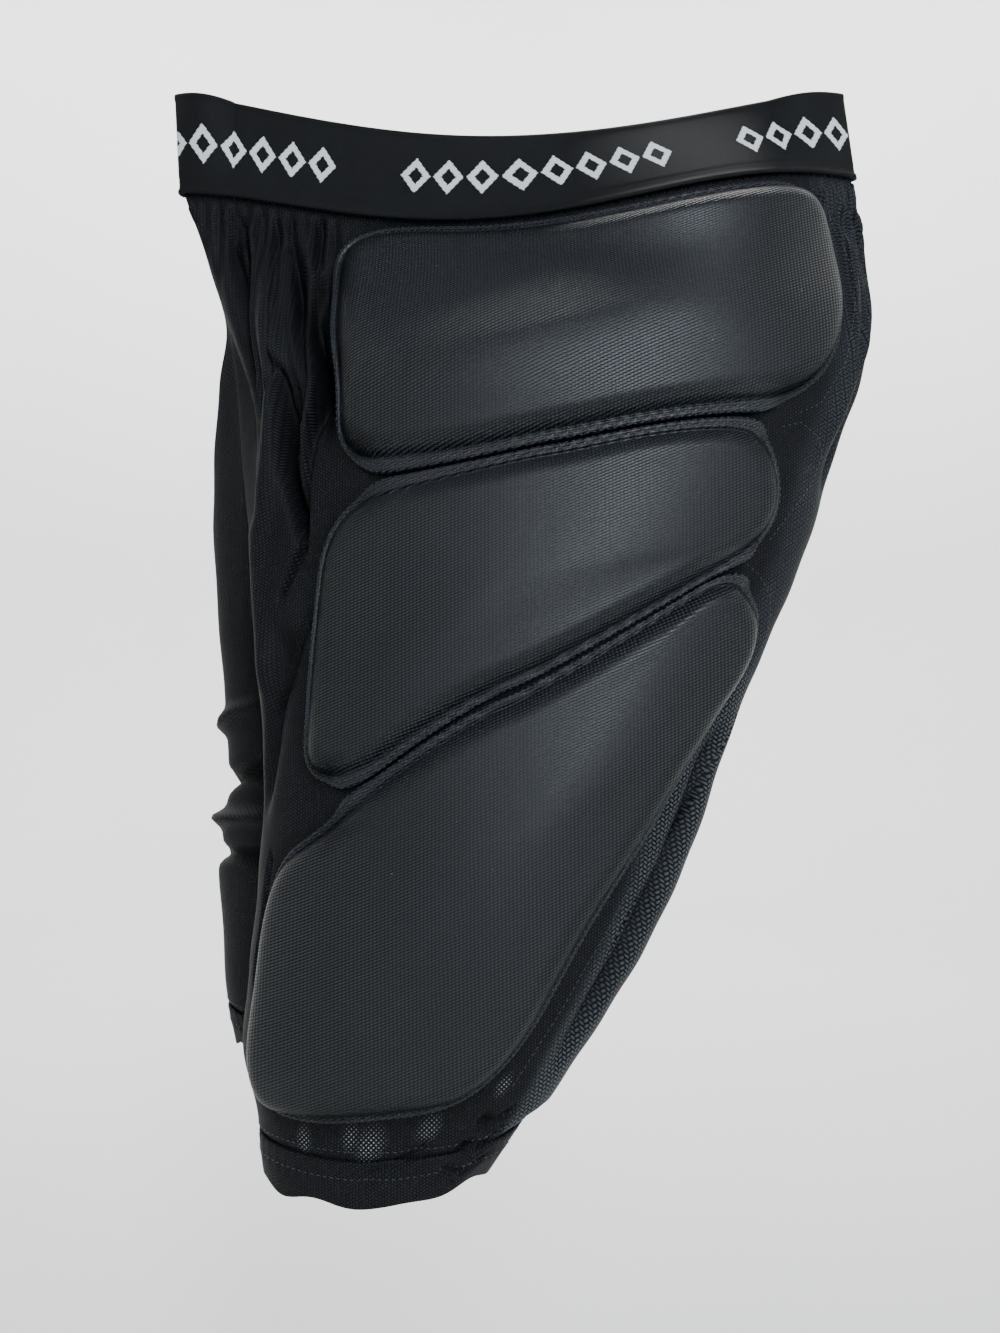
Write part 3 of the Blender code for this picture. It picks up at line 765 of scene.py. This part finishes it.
def bodyColumns():
    pieces = [np.linspace(-1, 0, body["inner"], endpoint=False)]
    pieces.append(np.linspace(0, 0.34, body["front"], endpoint=False))
    pieces.append(np.linspace(0.34, 0.80, body["middle"], endpoint=False))
    pieces.append(np.linspace(0.80, 1, body["back"], endpoint=False))
    pieces.append(np.linspace(1, 2, body["inner"] + 1))
    return np.concatenate(pieces)


def clothMarks(side, across, down, paintedShade):
    # where the knit is coarse, where it is open and gets pale dots of painted light, and where painted
    # shade darkens deep folds and the cloth beside the pads
    coarse = smoothStep((across - 0.72) / 0.05) * smoothStep((down - 0.50) / 0.04)
    behind = body["coarse"] * smoothStep((across - 0.79) / 0.05)
    coarse = np.maximum(coarse, behind) * (1 - smoothStep((across - 1.2) / 0.1))
    spots = flatPlaces(side, across, down)
    opened = np.zeros(across.shape)
    for a, d, size in body["openPatches"]:
        distance = np.linalg.norm(spots - flatPlaces(side, a, d), axis=-1)
        opened = np.maximum(opened, 1 - smoothStep(distance / size - 0.2))
    return {"coarse": coarse, "open": opened, "paintedShade": paintedShade}


def makeBody(side):
    columns = bodyColumns()
    tuckRows = body["tuckRows"]

    def place(u, v):
        across = np.interp(u * (len(columns) - 1), np.arange(len(columns)), columns)
        row = v * body["rows"]
        last = hemLine + body["underHem"] / shape["lengths"][left][0]
        down = np.clip((row - tuckRows) / (body["rows"] - tuckRows), 0, 1) * last
        behind = smoothStep((down - hemLine + 0.0020) / 0.0035)
        heights, paintedShade = reliefHeights(side, across, down)
        points = foldedCloth(side, across, down, -body["tuckIn"] * behind, heights)
        up = np.clip((tuckRows - row) / tuckRows, 0, 1) * shape["bandTuck"] / shape["bandHeight"]
        tucked = waistFace(side, np.clip(across, 0, 1), up)
        points = np.where((row < tuckRows)[:, None], tucked, points)
        return points, clothPattern(side, across, down), clothMarks(side, across, down, paintedShade)

    name = "shorts" + sideNames[side].capitalize()
    obj = gridPiece(name, len(columns) - 1, body["rows"], place, knit, weld=0.00004)
    addWall(obj, body["thickness"])
    return obj


shorts = {side: makeBody(side) for side in (left, right)}
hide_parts("shorts_body")
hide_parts("shorts_body")
print("shorts made")


# Waistband
band = {"columns": 210, "rows": 46, "bead": 0.0009, "beadHeight": 0.0030, "rib": 0.00022}


def makeBand():
    def place(u, v):
        angle = u * 2  # 0 to 1 along the left layer, 1 to 2 back along the right one
        side = np.where(angle <= 1, left, right)
        across = np.where(angle <= 1, angle, 2 - angle)
        up = 1 - v

        def face(across, up):
            points = np.zeros((len(up), 3))
            for one in (left, right):
                chosen = side == one
                points[chosen] = waistFace(one, across[chosen], up[chosen])
            return points

        step = 0.003
        forward = np.where(side == left, 1, -1)
        along = face(np.clip(across + step, 0, 1), up) - face(np.clip(across - step, 0, 1), up)
        along[:, 1] = np.where((across < step) | (across > 1 - step), 0, along[:, 1])
        along = along * forward[:, None]
        ends = np.where(across < 0.5, -1.0, 1.0)
        rising = face(across, np.minimum(up + 0.02, 1)) - face(across, np.maximum(up - 0.02, 0))
        normals = np.cross(along, rising)
        atEnd = (across < step) | (across > 1 - step)
        normals[atEnd] = np.stack([ends[atEnd], 0 * ends[atEnd], 0 * ends[atEnd]], axis=1)
        normals = normals / np.linalg.norm(normals, axis=1, keepdims=True)
        height = up * shape["bandHeight"]
        low = np.clip(1 - np.abs(height - band["beadHeight"] / 2) / (band["beadHeight"] / 2), 0, 1)
        top = np.clip(1 - np.abs(shape["bandHeight"] - height - 0.001) / 0.0015, 0, 1)
        lift = shape["bandGap"] + shape["bandThickness"]
        lift = lift + band["bead"] * np.sqrt(low) + band["bead"] * 0.35 * np.sqrt(top)
        for line in (0.0052, 0.0072):
            lift = lift - band["rib"] * np.exp(-(((height - line) / 0.0006) ** 2))
        points = face(across, up) + normals * lift[:, None]
        length = (1 - np.cos(math.pi * across)) / 2 * shape["waistWidth"] - shape["waistFront"]
        run = np.where(side == left, length, 2 * (shape["waistWidth"] - shape["waistFront"]) - length)
        return points, np.stack([run, height], axis=1), {}

    obj = gridPiece("waistbandLoop", band["columns"] * 2, band["rows"], place, elastic, weld=0.00004)
    obj.data.materials.append(lining)
    outwards(obj, lambda c: c * [1, 0, 1])
    addWall(obj, shape["bandThickness"], materialOffset=1)
    return obj


waistband = makeBand()
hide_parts("waistband")
print("waistband made")


# Hems
hems = {
    "columns": 260, "rows": 18, "thickness": 0.0013, "lift": 0.0003, "rim": 0.0003,
    "pucker": 0.0003, "puckerPitch": 0.0055, "scallop": 0.0011, "scallops": (14, 9),
}


def makeHem(side):
    top = hemLine + shape["hemGap"] / shape["lengths"][left][0]

    def place(u, v):
        across = -1 + 3 * u
        down = top + (1 - top) * v
        pattern = clothPattern(side, across, down)
        ripple = hems["pucker"] * np.sin(pattern[:, 0] / hems["puckerPitch"] * 2 * math.pi)
        rows = np.exp(-(((v - 0.42) / 0.12) ** 2)) + 0.6 * np.exp(-((v / 0.2) ** 2))
        lift = hems["lift"] - hems["rim"] * (1 - smoothStep(v / 0.08)) + ripple * rows
        points = foldedCloth(side, across, down, lift)
        often, seldom = hems["scallops"]
        scallop = np.sin(u * 2 * math.pi * often) + 0.7 * np.sin(u * 2 * math.pi * seldom + 0.8)
        points[:, 2] += hems["scallop"] * scallop * v**2
        return points, pattern, {"coarse": 0 * u, "open": 0 * u, "paintedShade": 0 * u}

    name = "hemBand" + sideNames[side].capitalize()
    obj = gridPiece(name, hems["columns"], hems["rows"], place, knit, weld=0.00004)
    addWall(obj, hems["thickness"])
    return obj


for side in (left, right):
    hem = makeHem(side)
    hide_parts("hem_" + sideNames[side])
    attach(hem, "root")
print("hems made")


# Pads: rings of points from under the pad, over its sewn edge and its rounded side, to its top
def softened(ring, amount):
    # rounds the corners of a closed ring of places
    waves = np.fft.rfft(ring, axis=0)
    keep = np.exp(-((np.arange(len(waves)) * amount) ** 2))
    return np.fft.irfft(waves * keep[:, None], len(ring), axis=0)


def padRings(side, pad):
    outline = padOutlines[side, pad]
    toMiddle, reach, outward = padInset(side, outline)
    count = len(outline)
    turn = np.arange(count) / count * 2 * math.pi
    tremble = np.sin(turn * 37) + np.sin(turn * 53 + 1.1) + np.sin(turn * 23 + 2.0)
    tremble = pads["tremble"] * tremble / 2
    width, raised = flangeShapes[side, pad]
    rings = []

    def inner(distance, share, lift):
        part = distance / reach
        part = part + (1 - part) * share
        rings.append((outline + toMiddle * part[:, None], lift + 0 * reach))

    def outer(distance, lift):
        rings.append((outline + outward * (distance + 0 * reach)[:, None], lift + 0 * reach))

    for share in (1.0, 0.7, 0.4, 0.1):
        inner(0, share, pads["seat"])
    outer(0, pads["seat"] / 2)
    outer(width, -0.0004)
    for part, lift in pads["sewnHeights"]:
        held = raised * smoothStep((1 - part) / pads["raiseEnd"])
        outer(width * part, lift + held + tremble * smoothStep((1 - part) * 4))
    for k in range(pads["edgeRings"]):
        angle = k / (pads["edgeRings"] - 1) * math.pi / 2
        distance = pads["edgeRound"] * (1 - math.cos(angle) ** (2 / pads["edgePower"]))
        height = pads["thickness"] * math.sin(angle) ** (2 / pads["edgePower"])
        inner(distance, 0, np.maximum(height, 0.0005 + raised * 0.85))
    for share in np.linspace(0, 1, pads["topRings"])[1:]:
        inner(pads["edgeRound"], share, pads["thickness"] + pads["crown"] * smoothStep(share))
        rings[-1] = (softened(rings[-1][0], pads["softening"] * share), rings[-1][1])
    return rings


def makePad(side, pad):
    rings = padRings(side, pad)
    places = np.array([ring[0] for ring in rings])
    lifts = np.array([ring[1] for ring in rings])

    def place(u, v):
        column = np.round(u * pads["around"]).astype(int) % pads["around"]
        row = np.round(v * (len(rings) - 1)).astype(int)
        across, down = places[row, column].T
        lift = lifts[row, column]
        points = smoothCloth(side, across, down)
        points = points + lift[:, None] * clothNormals(side, across, down)
        # marks: the sewn edge, and the rounded side where no other pad lies close, which gets painted shade
        pastSewn = row - pads["underRings"] - len(pads["sewnHeights"])
        sewn = np.clip(1 - pastSewn / pads["sewnFade"], 0, 1)
        alone = 1 - flangeShapes[side, pad][1][column] / pads["raise"]
        start, end = pads["roundedSpan"]
        paintedSideShade = np.sin(np.clip((pastSewn - start) / (end - start), 0, 1) * math.pi) * alone
        return points, clothPattern(side, across, down), {"sewn": sewn, "paintedSideShade": paintedSideShade}

    words = pad.split("_")
    name = words[0] + "Pad" + sideNames[side].capitalize()
    obj = gridPiece(name, pads["around"], len(rings) - 1, place, cover, weld=0.00003)
    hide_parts(pad + "_" + sideNames[side])
    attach(obj, "root")
    return obj


for side in (left, right):
    for pad in padCorners:
        makePad(side, pad)
print("pads made")


# Stitches
stitches = {
    "pitch": 0.0031, "length": 0.0018, "radius": 0.00017, "lift": 0.0002, "onHem": 0.0006,
    "onFlange": (0.44, 0.86), "flangeHeight": 0.0006, "lean": 0.22,
}
stitchLines = {
    "behindSidePad": (
        (0.750, 0.2820), (0.784, 0.276), (0.833, 0.290), (0.866, 0.309),
        (0.860, 0.333), (0.826, 0.360), (0.790, 0.394),
    ),
    "behindHipPad": (
        (0.812, 0.004), (0.838, 0.040), (0.842, 0.100), (0.838, 0.160),
        (0.838, 0.215), (0.810, 0.256), (0.770, 0.268),
    ),
    "behindThighPad": (
        (0.745, 0.412), (0.800, 0.430), (0.860, 0.455), (0.905, 0.485), (0.895, 0.520),
        (0.850, 0.570), (0.800, 0.650), (0.750, 0.730), (0.725, 0.800), (0.712, 0.860),
        (0.690, 0.905),
    ),
    "hemUpper": ((-0.9, 0.950), (0.5, 0.950), (1.9, 0.950)),
    "hemLower": ((-0.9, 0.974), (0.5, 0.974), (1.9, 0.974)),
}


def makeStitches(side):
    bm = bmesh.new()
    total = 0

    def sew(points, normals):
        row = bmesh.new()
        run = np.concatenate([[0], np.cumsum(np.linalg.norm(np.diff(points, axis=0), axis=1))])
        spots = np.arange(stitches["pitch"] / 2, run[-1], stitches["pitch"])
        at = np.stack([np.interp(spots, run, points[:, k]) for k in range(3)], axis=1)
        ahead = np.stack([np.interp(spots + 0.0005, run, points[:, k]) for k in range(3)], axis=1)
        out = np.stack([np.interp(spots, run, normals[:, k]) for k in range(3)], axis=1)
        for k, (middle, end, normal) in enumerate(zip(at, ahead, out)):
            along = Vector(end - middle).normalized()
            up = Vector(normal)
            sideways = up.cross(along).normalized()
            along = (along + sideways * stitches["lean"] * math.sin(k * 2.4)).normalized()
            turn = Matrix((along, up.cross(along).normalized(), up)).transposed().to_4x4()
            size = Matrix.Diagonal((stitches["length"] / 2, stitches["radius"], stitches["radius"], 1))
            bmesh.ops.create_uvsphere(
                row, u_segments=6, v_segments=4, radius=1, matrix=Matrix.Translation(middle) @ turn @ size
            )
        rowMesh = bpy.data.meshes.new("row")
        row.to_mesh(rowMesh)
        row.free()
        bm.from_mesh(rowMesh)
        bpy.data.meshes.remove(rowMesh)
        return len(spots)

    for pad in padCorners:
        outline = padOutlines[side, pad]
        width, raised = flangeShapes[side, pad]
        outward = padInset(side, outline)[2]
        for part in stitches["onFlange"]:
            ring = outline + outward * (width * part)[:, None]
            ring = np.concatenate([ring, ring[:1]])
            lift = raised * smoothStep((1 - part) / pads["raiseEnd"])
            lift = np.concatenate([lift, lift[:1]]) + stitches["flangeHeight"]
            normals = clothNormals(side, ring[:, 0], ring[:, 1])
            total += sew(smoothCloth(side, ring[:, 0], ring[:, 1]) + lift[:, None] * normals, normals)
    for name, line in stitchLines.items():
        knots = np.array(line)
        places = evenly(knots, 400)
        for _ in range(30):
            places[1:-1] = places[1:-1] / 2 + (places[:-2] + places[2:]) / 4
        lift = stitches["lift"] + (stitches["onHem"] if name == "hemLower" else 0.0)
        points = foldedCloth(side, places[:, 0], places[:, 1], lift)
        normals = clothNormals(side, places[:, 0], places[:, 1])
        total += sew(points, normals)
    name = "stitches" + sideNames[side].capitalize()
    mesh = bpy.data.meshes.new(name)
    bm.to_mesh(mesh)
    bm.free()
    mesh.shade_smooth()
    mesh.materials.append(thread)
    obj = bpy.data.objects.new(name, mesh)
    bpy.context.scene.collection.objects.link(obj)
    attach(obj, "root")
    print(name, total)


for side in (left, right):
    makeStitches(side)

for obj in (*shorts.values(), waistband):
    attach(obj, "root")


# Round pale room whose wall curves out of its floor, and soft light
room = {"floor": -0.80, "radius": 2.70, "curve": 0.80, "high": 2.60, "curveSteps": 12, "around": 96}


def makeRoom():
    bm = bmesh.new()
    profile = [(0.0, room["floor"])]
    for k in range(room["curveSteps"] + 1):
        angle = k / room["curveSteps"] * math.pi / 2
        y = room["radius"] - room["curve"] * (1 - math.sin(angle))
        profile.append((y, room["floor"] + room["curve"] * (1 - math.cos(angle))))
    profile.append((room["radius"], room["high"]))
    verts = [bm.verts.new((0, y, z)) for y, z in profile]
    edges = [bm.edges.new(pair) for pair in zip(verts, verts[1:])]
    bmesh.ops.spin(
        bm, geom=verts + edges, axis=(0, 0, 1), cent=(0, 0, 0), angle=2 * math.pi,
        steps=room["around"], use_merge=True,
    )
    bmesh.ops.remove_doubles(bm, verts=bm.verts, dist=0.0005)
    bmesh.ops.recalc_face_normals(bm, faces=bm.faces)
    bmesh.ops.reverse_faces(bm, faces=bm.faces)
    mesh = bpy.data.meshes.new("room")
    bm.to_mesh(mesh)
    bm.free()
    mesh.shade_smooth()
    mesh.materials.append(wallPaint)
    obj = bpy.data.objects.new("room", mesh)
    bpy.context.scene.collection.objects.link(obj)


makeRoom()

daylight, lampLight = (0.83, 0.90, 1.0), (1.0, 1.0, 0.985)
lights = (
    {
        "name": "window", "place": (0.52, -2.20, 1.00), "aim": (0.02, 0.0, 0.45),
        "wide": 0.5, "high": 2.4, "power": 104, "tint": daylight,
    },
    {
        "name": "above", "place": (0.25, -0.40, 1.30), "aim": (0.0, 0.0, -0.30),
        "wide": 1.2, "high": 1.2, "power": 2, "tint": daylight,
    },
    {
        "name": "rightSoft", "place": (1.60, -0.60, 0.10), "aim": (0.0, 0.0, -0.30),
        "wide": 1.6, "high": 1.8, "power": 5, "tint": daylight,
    },
    {
        "name": "wallWash", "place": (0.0, 0.90, 1.60), "aim": (0.0, 2.70, 0.1),
        "wide": 3.0, "high": 1.5, "power": 250, "tint": lampLight,
    },
)
for light in lights:
    data = bpy.data.lights.new(light["name"], "AREA")
    data.shape = "RECTANGLE"
    data.size = light["wide"]
    data.size_y = light["high"]
    data.energy = light["power"]
    data.color = light["tint"]
    lamp = bpy.data.objects.new(light["name"], data)
    lamp.location = light["place"]
    way = Vector(light["aim"]) - Vector(light["place"])
    lamp.rotation_euler = way.to_track_quat("-Z", "Y").to_euler()
    bpy.context.scene.collection.objects.link(lamp)

surround = {"tint": (0.90, 0.95, 1.0, 1.0), "strength": 0.11}
world = bpy.data.worlds.new("studio")
world.use_nodes = True
background = world.node_tree.nodes["Background"]
background.inputs["Color"].default_value = surround["tint"]
background.inputs["Strength"].default_value = surround["strength"]
bpy.context.scene.world = world
print("room and lights made")
